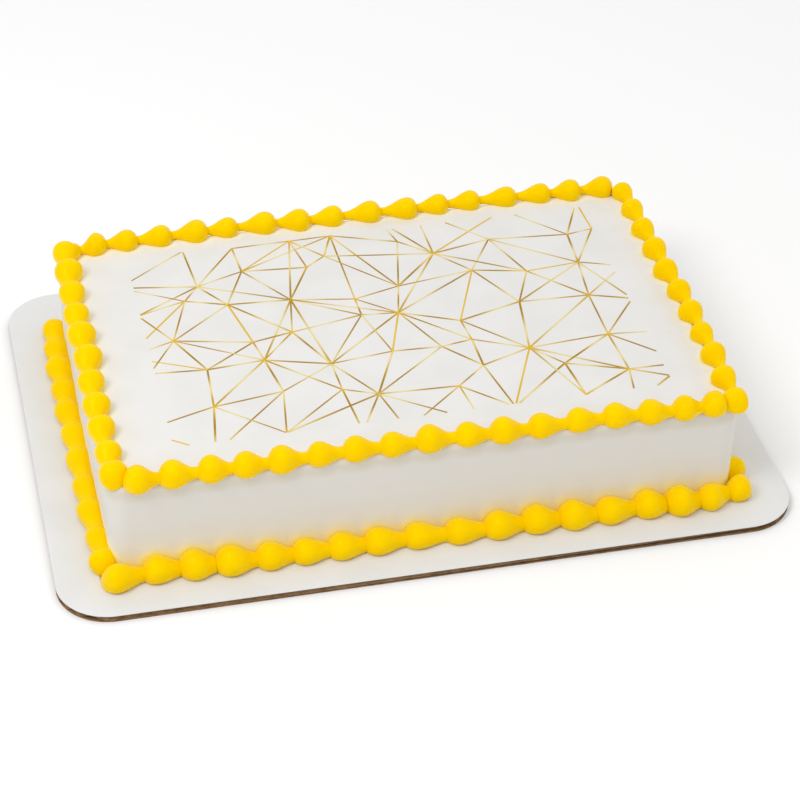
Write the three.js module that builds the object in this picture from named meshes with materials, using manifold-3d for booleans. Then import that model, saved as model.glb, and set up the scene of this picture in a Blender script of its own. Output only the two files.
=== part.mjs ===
// A quarter sheet cake, iced white, on the corrugated board it was made on. A thin
// edible sheet lies on top, and strings of piped yellow beads run round its top edge
// and round its foot. Millimetres, +Z up. The origin is the middle of the board's
// underside, and the long side of the cake runs along X.

import * as THREE from 'three';
import { mergeVertices } from 'three/addons/utils/BufferGeometryUtils.js';
import Module from 'manifold-3d';

// Pieces that touch keep this much air between them.
const GAP = 0.3;

const BOARD = {
  width: 365,
  depth: 266,
  thickness: 3.8,
  cornerRadius: 26,
  faceThickness: 0.4,
};

// The cake stands a little nearer to the board's front edge than to its back edge.
const CAKE = {
  width: 310,
  depth: 203,
  topHeight: 55.3,
  cornerRadius: 9,
  topEdgeRadius: 3,
  centreY: -3,
};

const SHEET = {
  width: 252,
  depth: 166,
  thickness: 0.5,
  cornerRadius: 2,
  centreX: 4.3,
  centreY: 2.9,
};

// How unevenly the beads were piped. Spacing and size are shares of the mean, and
// the sideways wander is in millimetres. A string strays from its line towards its
// ends, with this power of the distance from its middle.
const UNEVEN = { spacing: 0.13, size: 0.09, wander: 0.6, strayPower: 3 };

// What a bead's random draw is for, and the factors that mix such a draw.
const KINDS = { spacing: 0, wander: 1, size: 2 };
const MIX = { seed: 12.9898, bead: 78.233, kind: 37.719, spread: 43758.5453 };

// A bead is a round head with a tail that thins to a neck, and the next head sits on
// the neck. No neck is thicker than this share of its head.
const THICKEST_NECK = 0.9;

// Where a bead has its sections: on the head as shares of its radius from its middle,
// on the tail as shares of the tail's length.
const HEAD_CUTS = { pole: 0.95, shoulder: 0.6 };
const TAIL_CUTS = [0.45, 0.85];

// The top beads sit on the edge of the cake: the middle of the string lies this high
// above the icing, with a part that grows with the string's own radius. The tail reaches
// its neck after this share of the distance between heads, unless its string has another.
const TOP_SEAT = { base: 0.9, upPerRadius: 0.38, tailShare: 0.6 };

// The bottom beads lie in the corner of board and wall, sunk a little into the board.
const FOOT_SEAT = { upPerRadius: 0.68, outPerRadius: 0.4, tailShare: 0.74 };

// They also cling to the wall. Behind its crest a string runs down to the wall at this
// slope, and its section has come to lie against the wall after this turn, up to the
// last turn at which it touches the wall. Turns are radians from straight out.
const CLING = { slope: 0.77, turn: 0.65, last: 4.3, depth: 1 };

// Straight steps round a bead's section, a rounded corner and the cake's top edge.
const STEPS = { section: 9, boardCorner: 4, cakeCorner: 3, topEdge: 3 };

const FINISHES = {
  icing: { color: 0xf1efe9, roughness: 0.6 },
  sheet: { color: 0xf4f2ee, roughness: 0.65 },
  piping: { color: 0xffd400, roughness: 0.35 },
  boardFace: { color: 0xeeebe2, roughness: 0.55 },
  boardCore: { color: 0x7a5c3c, roughness: 0.9 },
};

// One string of beads runs along each side of the cake. fromCorner and toCorner are the
// distances of its first and last head from the cake's walls at either end, and head
// and neck are the mean radii. inset is how far inside the wall the top string is laid,
// swing is how far out its tails lie for each millimetre that they are thinner than the
// heads, and ends is how far outwards it strays towards its first and its last head.
// firstHead, lastHead, firstOut and lastOut are the radii and the strays of end heads
// that are unlike the others.
const TOP_BORDER = {
  back: {
    fromCorner: 11.1, toCorner: 20.7, beads: 16, head: 6.12, neck: 2.3,
    inset: 1.65, swing: 0.42, ends: [-0.9, -2.3], seed: 5454143, tailShare: 0.65,
    firstHead: 6.3, lastHead: 6.5, endBlob: 5,
  },
  left: {
    fromCorner: 8.3, toCorner: 7.8, beads: 11, head: 7.0, neck: 3.25,
    inset: 3.85, swing: 0.25, ends: [0.6, -0.2], seed: 2566332, firstOut: -0.7,
  },
  front: {
    fromCorner: 14.9, toCorner: 13.8, beads: 17, head: 6.8, neck: 2.9,
    inset: 3.1, swing: -0.16, ends: [1.3, 0.8], seed: 4889801, lastHead: 6.6,
  },
  right: {
    fromCorner: 8.9, toCorner: 3.5, beads: 11, head: 6.35, neck: 2.3,
    inset: 1.4, swing: 0.52, ends: [-1.3, -1.4], seed: 568380, tailShare: 0.5,
    firstHead: 5.6, lastHead: 6.6,
  },
};

// lean is how far outside the wall the foot string is laid.
const FOOT_BORDER = {
  back: {
    fromCorner: 6, toCorner: 10, beads: 17,
    head: 7.2, neck: 3.9, lean: 2.6, ends: [-1, -1], seed: 4711,
  },
  left: {
    fromCorner: 4.2, toCorner: 6.0, beads: 11,
    head: 6.15, neck: 4.3, lean: 3.3, ends: [-0.2, -3.6], seed: 1649910, tailShare: 0.65,
    firstOut: -1.2, lastHead: 6.8, lastOut: -2.4,
  },
  right: {
    fromCorner: 6.5, toCorner: 11, beads: 11,
    head: 6.7, neck: 4.0, lean: -1.2, ends: [-1, 1.6], seed: 5813, lastHead: 6.8,
  },
  front: {
    fromCorner: 1.1, toCorner: -2.1, beads: 18, head: 7.35, neck: 3.7,
    lean: 4.5, ends: [-3.1, 1.2], seed: 791082, firstOut: 0.9, lastHead: 6.9, lastOut: -3.2,
  },
};

// How far beyond its last head a string's end blob lies, in radii of the blob.
const END_BLOB_STEP = 2.5;

// Each side of the cake: the way the beads were piped along it, and the way out.
const SIDES = {
  front: { along: [1, 0], out: [0, -1], length: CAKE.width, reach: CAKE.depth / 2 },
  back: { along: [-1, 0], out: [0, 1], length: CAKE.width, reach: CAKE.depth / 2 },
  left: { along: [0, -1], out: [-1, 0], length: CAKE.depth, reach: CAKE.width / 2 },
  right: { along: [0, -1], out: [1, 0], length: CAKE.depth, reach: CAKE.width / 2 },
};

const wasm = await Module();
wasm.setup();

function toSolid(geometry) {
  const bare = geometry.clone();
  bare.deleteAttribute('normal');
  bare.deleteAttribute('uv');
  const merged = mergeVertices(bare, 1e-4);
  return new wasm.Manifold(new wasm.Mesh({
    numProp: 3,
    vertProperties: merged.attributes.position.array,
    triVerts: new Uint32Array(merged.index.array),
  }));
}

function toGeometry(solid) {
  const mesh = solid.getMesh();
  const geometry = new THREE.BufferGeometry();
  geometry.setAttribute('position', new THREE.BufferAttribute(mesh.vertProperties, 3));
  geometry.setIndex(new THREE.BufferAttribute(mesh.triVerts, 1));
  geometry.computeVertexNormals();
  return geometry;
}

// A number from -1 to 1 that is always the same for one bead of one string.
function draw(seed, bead, kind) {
  const angle = seed * MIX.seed + bead * MIX.bead + kind * MIX.kind;
  const wave = Math.sin(angle) * MIX.spread;
  return 2 * (wave - Math.floor(wave)) - 1;
}

// Rises smoothly from 0 to 1 as the value does, and stays there outside that range.
function smooth(value) {
  const share = Math.min(Math.max(value, 0), 1);
  return share * share * (3 - 2 * share);
}

function roundedRectangle(width, depth, radius) {
  const [x, y] = [width / 2, depth / 2];
  const shape = new THREE.Shape();
  shape.moveTo(-x + radius, -y);
  shape.lineTo(x - radius, -y);
  shape.absarc(x - radius, -y + radius, radius, -Math.PI / 2, 0);
  shape.lineTo(x, y - radius);
  shape.absarc(x - radius, y - radius, radius, 0, Math.PI / 2);
  shape.lineTo(-x + radius, y);
  shape.absarc(-x + radius, y - radius, radius, Math.PI / 2, Math.PI);
  shape.lineTo(-x, -y + radius);
  shape.absarc(-x + radius, -y + radius, radius, Math.PI, Math.PI * 1.5);
  return shape;
}

// A flat slab with upright rounded corners, from z = 0 up.
function slab(width, depth, thickness, cornerRadius) {
  const shape = roundedRectangle(width, depth, cornerRadius);
  return new THREE.ExtrudeGeometry(shape, {
    depth: thickness,
    bevelEnabled: false,
    curveSegments: STEPS.boardCorner,
  });
}

// The cake's block, grown on every face but its underside. Its upper edge is rounded.
function cakeBlock(grow) {
  const edge = CAKE.topEdgeRadius + grow;
  const bottom = BOARD.thickness + GAP;
  const width = CAKE.width + 2 * grow;
  const depth = CAKE.depth + 2 * grow;
  const height = CAKE.topHeight + grow - bottom;
  const shape = roundedRectangle(width, depth, CAKE.cornerRadius + grow);
  const block = new THREE.ExtrudeGeometry(shape, {
    depth: height - edge,
    bevelThickness: edge,
    bevelSize: edge,
    bevelOffset: -edge,
    bevelSegments: STEPS.topEdge,
    curveSegments: STEPS.cakeCorner,
  });
  block.translate(0, CAKE.centreY, bottom);
  const below = new THREE.BoxGeometry(width * 2, depth * 2, edge * 2);
  below.translate(0, CAKE.centreY, bottom - edge);
  return toSolid(block).subtract(toSolid(below));
}

// The heads of one string, first to last: where each lies along its side, counted
// from the middle, how far it wandered outwards, and its radius. A string may end in a
// small blob where the piping tip was lifted.
function pipedHeads(run, side) {
  const first = -side.length / 2 + run.fromCorner;
  const last = side.length / 2 - run.toCorner;
  const spacings = [];
  for (let bead = 0; bead < run.beads - 1; bead += 1) {
    spacings.push(1 + UNEVEN.spacing * draw(run.seed, bead, KINDS.spacing));
  }
  const whole = spacings.reduce((sum, spacing) => sum + spacing, 0);
  const heads = [];
  let passed = 0;
  for (let bead = 0; bead < run.beads; bead += 1) {
    const fromMiddle = 2 * bead / (run.beads - 1) - 1;
    const stray = run.ends[fromMiddle < 0 ? 0 : 1] * Math.abs(fromMiddle) ** UNEVEN.strayPower;
    heads.push({
      at: first + (last - first) * passed / whole,
      wander: stray + UNEVEN.wander * draw(run.seed, bead, KINDS.wander),
      radius: run.head * (1 + UNEVEN.size * draw(run.seed, bead, KINDS.size)),
    });
    passed += spacings[bead] ?? 0;
  }
  const end = heads[heads.length - 1];
  heads[0].radius = run.firstHead ?? heads[0].radius;
  heads[0].wander = run.firstOut ?? heads[0].wander;
  end.radius = run.lastHead ?? end.radius;
  end.wander = run.lastOut ?? end.wander;
  if (run.endBlob) {
    heads.push({
      at: end.at + END_BLOB_STEP * run.endBlob,
      wander: end.wander - run.endBlob,
      radius: run.endBlob,
    });
  }
  return heads;
}

// Stations along one string: the place along the side, the wander and the radius.
// Ahead of each head lies half a ball, which starts at the neck before it.
function stations(run, heads, tailShare) {
  const list = [{ at: heads[0].at - heads[0].radius, wander: heads[0].wander, radius: 0 }];
  heads.forEach((head, bead) => {
    const next = heads[bead + 1];
    const neck = Math.min(run.neck, head.radius * THICKEST_NECK);
    const add = (at, radius) => {
      const share = next ? Math.max(0, (at - head.at) / (next.at - head.at)) : 0;
      const wander = head.wander + share * ((next ?? head).wander - head.wander);
      list.push({ at, wander, radius });
    };
    const crease = bead > 0 ? Math.sqrt(1 - (neck / head.radius) ** 2) : HEAD_CUTS.pole;
    for (const front of [crease, HEAD_CUTS.shoulder, 0]) {
      add(head.at - front * head.radius, head.radius * Math.sqrt(1 - front ** 2));
    }
    if (next) {
      const tail = tailShare * (next.at - head.at);
      for (const share of TAIL_CUTS) {
        const thinned = (1 - Math.cos(Math.PI * share)) / 2;
        add(head.at + share * tail, head.radius - thinned * (head.radius - neck));
      }
    } else {
      for (const back of [HEAD_CUTS.shoulder, HEAD_CUTS.pole]) {
        add(head.at + back * head.radius, head.radius * Math.sqrt(1 - back ** 2));
      }
      list.push({ at: head.at + head.radius, wander: head.wander, radius: 0 });
    }
  });
  return list;
}

// The two borders: how soon their tails thin, where the middle of a string lies at one
// station, out from the cake's middle and up, and where a point of its section ends up.
const BORDERS = {
  top: {
    tailShare: TOP_SEAT.tailShare,
    seat: (run, side, station) => ({
      out: side.reach - run.inset + station.wander + run.swing * (run.head - station.radius),
      up: CAKE.topHeight + TOP_SEAT.base + TOP_SEAT.upPerRadius * station.radius,
    }),
    rest: (side, angle, point) => point,
  },
  foot: {
    tailShare: FOOT_SEAT.tailShare,
    seat: (run, side, station) => ({
      out: side.reach + run.lean + FOOT_SEAT.outPerRadius * station.radius + station.wander,
      up: BOARD.thickness + FOOT_SEAT.upPerRadius * station.radius,
    }),
    rest: (side, angle, point) => {
      const turned = (angle - Math.PI / 2 - Math.atan(CLING.slope)) / CLING.turn;
      const share = angle > CLING.last ? 0 : smooth(turned);
      const away = Math.max(0, point.out - side.reach + CLING.depth);
      return { out: point.out - share * away, up: point.up - CLING.slope * share * away };
    },
  },
};

// The closed skin of one string: a round section at each station, a point at each end.
function beadString(run, side, border, grow) {
  const positions = [];
  const place = (at, out, up) => positions.push(
    side.along[0] * at + side.out[0] * out,
    side.along[1] * at + side.out[1] * out + CAKE.centreY,
    up,
  );
  const list = stations(run, pipedHeads(run, side), run.tailShare ?? border.tailShare);
  const rings = list.slice(1, -1);
  const [start, end] = [list[0], list[list.length - 1]];
  const startSeat = border.seat(run, side, rings[0]);
  const endSeat = border.seat(run, side, rings[rings.length - 1]);
  place(start.at - grow, startSeat.out, startSeat.up);
  for (const ring of rings) {
    const middle = border.seat(run, side, ring);
    for (let corner = 0; corner < STEPS.section; corner += 1) {
      const angle = (2 * Math.PI * corner) / STEPS.section;
      const radius = ring.radius + grow;
      const round = {
        out: middle.out + radius * Math.cos(angle),
        up: middle.up + radius * Math.sin(angle),
      };
      const { out, up } = border.rest(side, angle, round);
      place(ring.at, out, up);
    }
  }
  place(end.at + grow, endSeat.out, endSeat.up);

  // The sections turn the other way round where along, out and up are left-handed.
  const leftHanded = side.along[0] * side.out[1] - side.along[1] * side.out[0] < 0;
  const faces = [];
  const addFace = (a, b, c) => faces.push(...(leftHanded ? [a, c, b] : [a, b, c]));
  const corner = (ring, index) => 1 + ring * STEPS.section + (index % STEPS.section);
  const endPoint = 1 + rings.length * STEPS.section;
  for (let index = 0; index < STEPS.section; index += 1) {
    addFace(0, corner(0, index + 1), corner(0, index));
    addFace(endPoint, corner(rings.length - 1, index), corner(rings.length - 1, index + 1));
    for (let ring = 0; ring < rings.length - 1; ring += 1) {
      const [a, b] = [corner(ring, index), corner(ring, index + 1)];
      const [c, d] = [corner(ring + 1, index), corner(ring + 1, index + 1)];
      addFace(a, b, d);
      addFace(a, d, c);
    }
  }
  const geometry = new THREE.BufferGeometry();
  geometry.setAttribute('position', new THREE.Float32BufferAttribute(positions, 3));
  geometry.setIndex(faces);
  return toSolid(geometry);
}

// All the strings of one border. Each one laid later rests over the end of those
// before it, which are cut back from it, and all are cut back from cake and board.
function pipedBorder(runs, border) {
  const floor = new THREE.BoxGeometry(BOARD.width * 2, BOARD.depth * 2, BOARD.thickness * 2);
  floor.translate(0, 0, GAP);
  const support = cakeBlock(GAP).add(toSolid(floor));
  const names = Object.keys(runs);
  return names.map((name, order) => {
    let solid = beadString(runs[name], SIDES[name], border, 0).subtract(support);
    for (const later of names.slice(order + 1)) {
      solid = solid.subtract(beadString(runs[later], SIDES[later], border, GAP));
    }
    return { name, geometry: toGeometry(solid) };
  });
}

function mesh(name, geometry, finish) {
  const material = new THREE.MeshStandardMaterial({ ...finish, metalness: 0 });
  const made = new THREE.Mesh(geometry, material);
  made.name = name;
  return made;
}

function makeBoard() {
  const group = new THREE.Group();
  const { width, depth, thickness, cornerRadius, faceThickness } = BOARD;
  const coreThickness = thickness - faceThickness - GAP;
  const core = slab(width, depth, coreThickness, cornerRadius);
  const face = slab(width, depth, faceThickness, cornerRadius);
  const faceMesh = mesh('board_face', face, FINISHES.boardFace);
  faceMesh.position.z = coreThickness + GAP;
  group.add(mesh('board_core', core, FINISHES.boardCore), faceMesh);
  return group;
}

function makeCake() {
  const group = new THREE.Group();
  const block = mesh('iced_cake', toGeometry(cakeBlock(0)), FINISHES.icing);
  const { width, depth, thickness, cornerRadius, centreX, centreY } = SHEET;
  const flat = slab(width, depth, thickness, cornerRadius);
  const sheet = mesh('edible_sheet', flat, FINISHES.sheet);
  sheet.position.set(centreX, centreY, CAKE.topHeight + GAP);
  group.add(block, sheet);
  return group;
}

function makePiping() {
  const group = new THREE.Group();
  for (const { name, geometry } of pipedBorder(TOP_BORDER, BORDERS.top)) {
    group.add(mesh(`top_border_${name}`, geometry, FINISHES.piping));
  }
  for (const { name, geometry } of pipedBorder(FOOT_BORDER, BORDERS.foot)) {
    group.add(mesh(`foot_border_${name}`, geometry, FINISHES.piping));
  }
  return group;
}

const cake = new THREE.Group();
cake.add(makeBoard(), makeCake(), makePiping());

export default cake;
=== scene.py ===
# %% [markdown]
# # A white sheet cake with yellow piped borders
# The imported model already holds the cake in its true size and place: a board, the iced
# block, a thin printed sheet and eight strings of beads, all as plain faceted solids.
# This notebook dresses them. Each solid is hidden and a smooth, finely shaped piece
# stands in its place, worked out as a surface from the same few measures, so that
# nothing has to be fitted by eye. The finishes come after the shapes, and the light last.

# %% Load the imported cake
import math

import bpy
import numpy as np
from mathutils import Matrix, Vector


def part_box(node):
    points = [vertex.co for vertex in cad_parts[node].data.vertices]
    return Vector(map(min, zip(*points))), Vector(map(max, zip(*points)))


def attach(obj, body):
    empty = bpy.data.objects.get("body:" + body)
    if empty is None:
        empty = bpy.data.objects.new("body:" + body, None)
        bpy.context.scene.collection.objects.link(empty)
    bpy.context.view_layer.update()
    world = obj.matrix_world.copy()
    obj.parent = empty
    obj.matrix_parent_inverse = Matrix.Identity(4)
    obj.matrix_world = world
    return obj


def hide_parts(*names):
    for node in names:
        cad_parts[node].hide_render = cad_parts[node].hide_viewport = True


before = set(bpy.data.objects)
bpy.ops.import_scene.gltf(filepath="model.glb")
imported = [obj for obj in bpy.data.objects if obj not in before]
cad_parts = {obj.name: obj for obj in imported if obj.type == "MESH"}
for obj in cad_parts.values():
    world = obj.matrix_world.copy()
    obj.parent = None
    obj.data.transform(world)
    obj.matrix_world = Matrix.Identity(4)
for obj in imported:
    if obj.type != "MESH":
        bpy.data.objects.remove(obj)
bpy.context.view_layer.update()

print("packed nodes:", ", ".join(sorted(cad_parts)))

# %% [markdown]
# All measures below are in millimetres, as a baker or a box maker would give them, and
# are turned into Blender's metres only when a mesh is made. The main sizes aren't typed
# again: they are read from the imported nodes, so board, block and sheet stay where they
# are if the model is packed anew.

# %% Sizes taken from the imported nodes
MM = 0.001


def node_box(node):
    """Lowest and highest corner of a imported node, in millimetres."""
    low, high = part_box(node)
    return np.array(low) / MM, np.array(high) / MM


BLOCK_LOW, BLOCK_HIGH = node_box("iced_cake")
CORE_LOW = node_box("board_core")[0]
FACE_LOW, FACE_HIGH = node_box("board_face")
SHEET_LOW, SHEET_HIGH = node_box("edible_sheet")

CAKE_CENTRE = (BLOCK_LOW + BLOCK_HIGH) / 2
CAKE_HALF = (BLOCK_HIGH - BLOCK_LOW) / 2
CAKE_TOP = BLOCK_HIGH[2]
BOARD_TOP = FACE_HIGH[2]
BOARD_HALF = (FACE_HIGH - FACE_LOW) / 2
SHEET_CENTRE = (SHEET_LOW + SHEET_HIGH) / 2
SHEET_HALF = (SHEET_HIGH - SHEET_LOW) / 2
print("cake", (2 * CAKE_HALF).round(1), "board", (2 * BOARD_HALF).round(1), "millimetres")

# %% [markdown]
# Nearly every piece here is a closed skin: a stack of rings with the same number of
# points, and a single point that shuts each end. A bead string is such a stack along
# its length, and the cake is one from its underside, up the walls and in over the top.
# So one helper turns a block of numbers, ring by point by coordinate, into a mesh. It
# measures the volume that the faces enclose and turns them round if it is negative,
# which is a sure way to have them all face out.

# %% A helper that makes a closed skin
def grid_faces(rings, points):
    """Quads between neighbouring rings, where point k of ring r has number r * points + k."""
    ring, point = np.meshgrid(np.arange(rings - 1), np.arange(points), indexing="ij")
    after = (point + 1) % points
    corners = [ring * points + point, ring * points + after]
    corners += [(ring + 1) * points + after, (ring + 1) * points + point]
    return np.stack(corners, axis=-1).reshape(-1, 4)


def fan_faces(ring_start, points, tip, turned):
    """Triangles from one ring to the point that shuts it."""
    here = ring_start + np.arange(points)
    after = ring_start + (np.arange(points) + 1) % points
    order = [after, here] if turned else [here, after]
    return np.stack([*order, np.full(points, tip)], axis=-1)


def enclosed(points, triangles):
    """The volume inside closed triangles: the sum of their tetrahedra with the origin."""
    a, b, c = (points[triangles[:, corner]] for corner in range(3))
    return np.einsum("ij,ij->i", a, np.cross(b, c)).sum() / 6


def make_piece(name, points, quads, triangles, stands_for):
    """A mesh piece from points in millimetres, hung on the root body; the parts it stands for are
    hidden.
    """
    halves = np.concatenate([quads[:, [0, 1, 2]], quads[:, [0, 2, 3]], triangles])
    if enclosed(points, halves) < 0:
        quads, triangles = quads[:, ::-1], triangles[:, ::-1]
    mesh = bpy.data.meshes.new(name)
    mesh.from_pydata((points * MM).tolist(), [], quads.tolist() + triangles.tolist())
    mesh.shade_smooth()
    piece = bpy.data.objects.new(name, mesh)
    bpy.context.scene.collection.objects.link(piece)
    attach(piece, "root")
    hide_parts(*stands_for)
    print(f"{name}: {len(points)} points, {len(halves)} triangles")
    return piece


def closed_skin(name, rings, start, end, stands_for):
    """The skin of rings, an array of ring by point by xyz, shut at start and at end."""
    count, points = rings.shape[:2]
    places = np.concatenate([rings.reshape(-1, 3), [start, end]])
    tip = count * points
    first = fan_faces(0, points, tip, turned=True)
    last = fan_faces(tip - points, points, tip + 1, turned=False)
    faces = np.concatenate([first, last])
    return make_piece(name, places, grid_faces(count, points), faces, stands_for)


# %% [markdown]
# The camera stands where the photographer's stood. Its place and its three angles were
# worked out from the straight edges of board and cake: it looks down on the cake from
# the front and a little from the left, through a long lens, and is hardly tilted.

# %% The camera
CAMERA_PLACE = (-231.24, -983.91, 780.06)
CAMERA_TURN = math.radians(-13.73)
CAMERA_DIP = math.radians(37.429)
CAMERA_TILT = math.radians(1.241)
LENS = 110.39
SENSOR = 36.0

lens = bpy.data.cameras.new("camera")
lens.lens = LENS
lens.sensor_width = SENSOR
camera = bpy.data.objects.new("camera", lens)
bpy.context.scene.collection.objects.link(camera)
heading = Matrix.Rotation(CAMERA_TURN, 4, "Z")
pitch = Matrix.Rotation(math.pi / 2 - CAMERA_DIP, 4, "X")
tilt = Matrix.Rotation(CAMERA_TILT, 4, "Z")
place = Matrix.Translation(Vector(CAMERA_PLACE) * MM)
camera.matrix_world = place @ heading @ pitch @ tilt
bpy.context.scene.camera = camera
print("camera looks along", (camera.matrix_world.to_3x3() @ Vector((0, 0, -1))).to_tuple(3))

# %% [markdown]
# The borders are beads of stiff icing, squeezed from a bag with a round tip. At each
# squeeze a ball swells up, then the hand moves on and lets go, so the icing thins to a
# neck, and the next ball is set on that neck. No two are alike: spacing, size and line
# wander a little. These are the same measures and the same draws as in the packed
# model, so each smooth bead lies exactly on its faceted one.

# %% The measures of the piped strings
UNEVEN_SPACING = 0.13
UNEVEN_SIZE = 0.09
UNEVEN_LINE = 0.6
STRAY_POWER = 3
THICKEST_NECK = 0.9
END_BLOB_STEP = 2.5

TOP_STRINGS = {
    "back": dict(from_corner=11.1, to_corner=20.7, beads=16, head=6.12, neck=2.3,
                 inset=1.65, swing=0.42, ends=(-0.9, -2.3), seed=5454143,
                 tail_share=0.65, first_head=6.3, last_head=6.5, end_blob=5),
    "left": dict(from_corner=8.3, to_corner=7.8, beads=11, head=7.0, neck=3.25,
                 inset=3.85, swing=0.25, ends=(0.6, -0.2), seed=2566332, first_out=-0.7),
    "front": dict(from_corner=14.9, to_corner=13.8, beads=17, head=6.8, neck=2.9,
                  inset=3.1, swing=-0.16, ends=(1.3, 0.8), seed=4889801, last_head=6.6),
    "right": dict(from_corner=8.9, to_corner=3.5, beads=11, head=6.35, neck=2.3,
                  inset=1.4, swing=0.52, ends=(-1.3, -1.4), seed=568380,
                  tail_share=0.5, first_head=5.6, last_head=6.6),
}
FOOT_STRINGS = {
    "back": dict(from_corner=6, to_corner=10, beads=17, head=7.2, neck=3.9,
                 lean=2.6, ends=(-1, -1), seed=4711),
    "left": dict(from_corner=4.2, to_corner=6.0, beads=11, head=6.15, neck=4.3,
                 lean=3.3, ends=(-0.2, -3.6), seed=1649910, tail_share=0.65,
                 first_out=-1.2, last_head=6.8, last_out=-2.4),
    "right": dict(from_corner=6.5, to_corner=11, beads=11, head=6.7, neck=4.0,
                  lean=-1.2, ends=(-1, 1.6), seed=5813, last_head=6.8),
    "front": dict(from_corner=1.1, to_corner=-2.1, beads=18, head=7.35, neck=3.7,
                  lean=4.5, ends=(-3.1, 1.2), seed=791082, first_out=0.9,
                  last_head=6.9, last_out=-3.2),
}

# The way along each side, the way out from the cake, and half its length.
SIDES = {
    "front": (np.array([1, 0]), np.array([0, -1]), CAKE_HALF[0], CAKE_HALF[1]),
    "back": (np.array([-1, 0]), np.array([0, 1]), CAKE_HALF[0], CAKE_HALF[1]),
    "left": (np.array([0, -1]), np.array([-1, 0]), CAKE_HALF[1], CAKE_HALF[0]),
    "right": (np.array([0, -1]), np.array([1, 0]), CAKE_HALF[1], CAKE_HALF[0]),
}


def draw(seed, bead, kind):
    """A number from -1 to 1 for each bead: the fraction of a large sine wave, spread out."""
    wave = np.sin(seed * 12.9898 + bead * 78.233 + kind * 37.719) * 43758.5453
    return 2 * (wave - np.floor(wave)) - 1


def piped_heads(run, half):
    """Place along the side, stray outwards and radius of each head of one string."""
    bead = np.arange(run["beads"])
    first = run["from_corner"] - half
    last = half - run["to_corner"]
    passed = np.cumsum(1 + UNEVEN_SPACING * draw(run["seed"], bead[:-1], 0))
    at = first + (last - first) * np.append(0, passed) / passed[-1]
    from_middle = 2 * bead / bead[-1] - 1
    ends = np.where(from_middle < 0, *run["ends"])
    stray = ends * np.abs(from_middle) ** STRAY_POWER
    stray = stray + UNEVEN_LINE * draw(run["seed"], bead, 1)
    radius = run["head"] * (1 + UNEVEN_SIZE * draw(run["seed"], bead, 2))
    radius[0] = run.get("first_head", radius[0])
    radius[-1] = run.get("last_head", radius[-1])
    stray[0] = run.get("first_out", stray[0])
    stray[-1] = run.get("last_out", stray[-1])
    if "end_blob" in run:
        blob = run["end_blob"]
        at = np.append(at, at[-1] + END_BLOB_STEP * blob)
        stray = np.append(stray, stray[-1] - blob)
        radius = np.append(radius, blob)
    return at, stray, radius


# %% [markdown]
# One bead's outline is worked out in two stretches. The front is part of a ball, which
# starts on the neck before it. The tail is half a cosine wave from the ball's radius
# down to the neck. It could be modelled as a ball stretched by hand, but with a rule
# every bead gets its own length and thickness for nothing.

# %% The outline of a string
FRONT_STEPS = 13
TAIL_STEPS = 17


def string_stations(run, half, tail_share):
    """Place, stray and radius at each station: ball arcs for heads, cosine waves for tails."""
    at, stray, radius = piped_heads(run, half)
    neck = np.minimum(run["neck"], THICKEST_NECK * radius)
    crease = np.arcsin(neck / radius)
    crease[0] = np.pi / 2 / FRONT_STEPS
    turn = crease[:, None] + (np.pi / 2 - crease[:, None]) * np.linspace(0, 1, FRONT_STEPS)
    front_at = at[:, None] - radius[:, None] * np.cos(turn)
    front_radius = radius[:, None] * np.sin(turn)

    gap = np.diff(at)[:, None]
    share = np.linspace(0, 1, TAIL_STEPS + 2)[1:-1]
    tail_at = at[:-1, None] + (front_at[1:, :1] - at[:-1, None]) * share
    passed = np.minimum((tail_at - at[:-1, None]) / (tail_share * gap), 1)
    thinned = (1 - np.cos(np.pi * passed)) / 2
    tail_radius = radius[:-1, None] - thinned * (radius - neck)[:-1, None]

    end_turn = np.linspace(np.pi / 2, np.pi, FRONT_STEPS + 1)[1:-1]
    end_at = at[-1] - radius[-1] * np.cos(end_turn)
    end_radius = radius[-1] * np.sin(end_turn)
    body_at = np.hstack([front_at[:-1], tail_at]).ravel()
    body_radius = np.hstack([front_radius[:-1], tail_radius]).ravel()
    all_at = np.concatenate([body_at, front_at[-1], end_at])
    all_radius = np.concatenate([body_radius, front_radius[-1], end_radius])
    tips = at[0] - radius[0], at[-1] + radius[-1]
    return all_at, np.interp(all_at, at, stray), all_radius, tips


# %% [markdown]
# A thick bead sits higher and further out than a thin neck, so the middle of a string
# moves with its thickness. The strings at the foot also cling to the wall: behind its
# crest such a string slopes down to the wall, so that no dark gap is left between them.
# The angles go round the section, from the side that faces away from the cake over the
# crest.

# %% Where the strings lie
TOP_BASE = 0.9
TOP_UP_PER_RADIUS = 0.38
FOOT_UP_PER_RADIUS = 0.68
FOOT_OUT_PER_RADIUS = 0.4
CLING_SLOPE = 0.77
CLING_TURN = 0.65
CLING_LAST = 4.3
CLING_DEPTH = 1.0


def top_seat(run, reach, stray, radius):
    """The middle of a string on the cake's upper edge: how far out and how high it lies."""
    swung = run["swing"] * (run["head"] - radius)
    out = reach - run["inset"] + stray + swung
    return out, CAKE_TOP + TOP_BASE + TOP_UP_PER_RADIUS * radius


def foot_seat(run, reach, stray, radius):
    """The middle of a string in the corner of board and wall: how far out and how high."""
    out = reach + run["lean"] + FOOT_OUT_PER_RADIUS * radius + stray
    return out, BOARD_TOP + FOOT_UP_PER_RADIUS * radius


def smooth(value):
    """Rises smoothly from 0 to 1 as the value does, and stays there outside that range."""
    share = np.clip(value, 0, 1)
    return share * share * (3 - 2 * share)


def cling_to_wall(angle, out, up, reach):
    """Lets the hidden side of a section run down to the wall instead of round."""
    turned = (angle - np.pi / 2 - math.atan(CLING_SLOPE)) / CLING_TURN
    share = np.where(angle > CLING_LAST, 0, smooth(turned))
    away = share * np.maximum(out - reach + CLING_DEPTH, 0)
    return out - away, up - CLING_SLOPE * away


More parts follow.
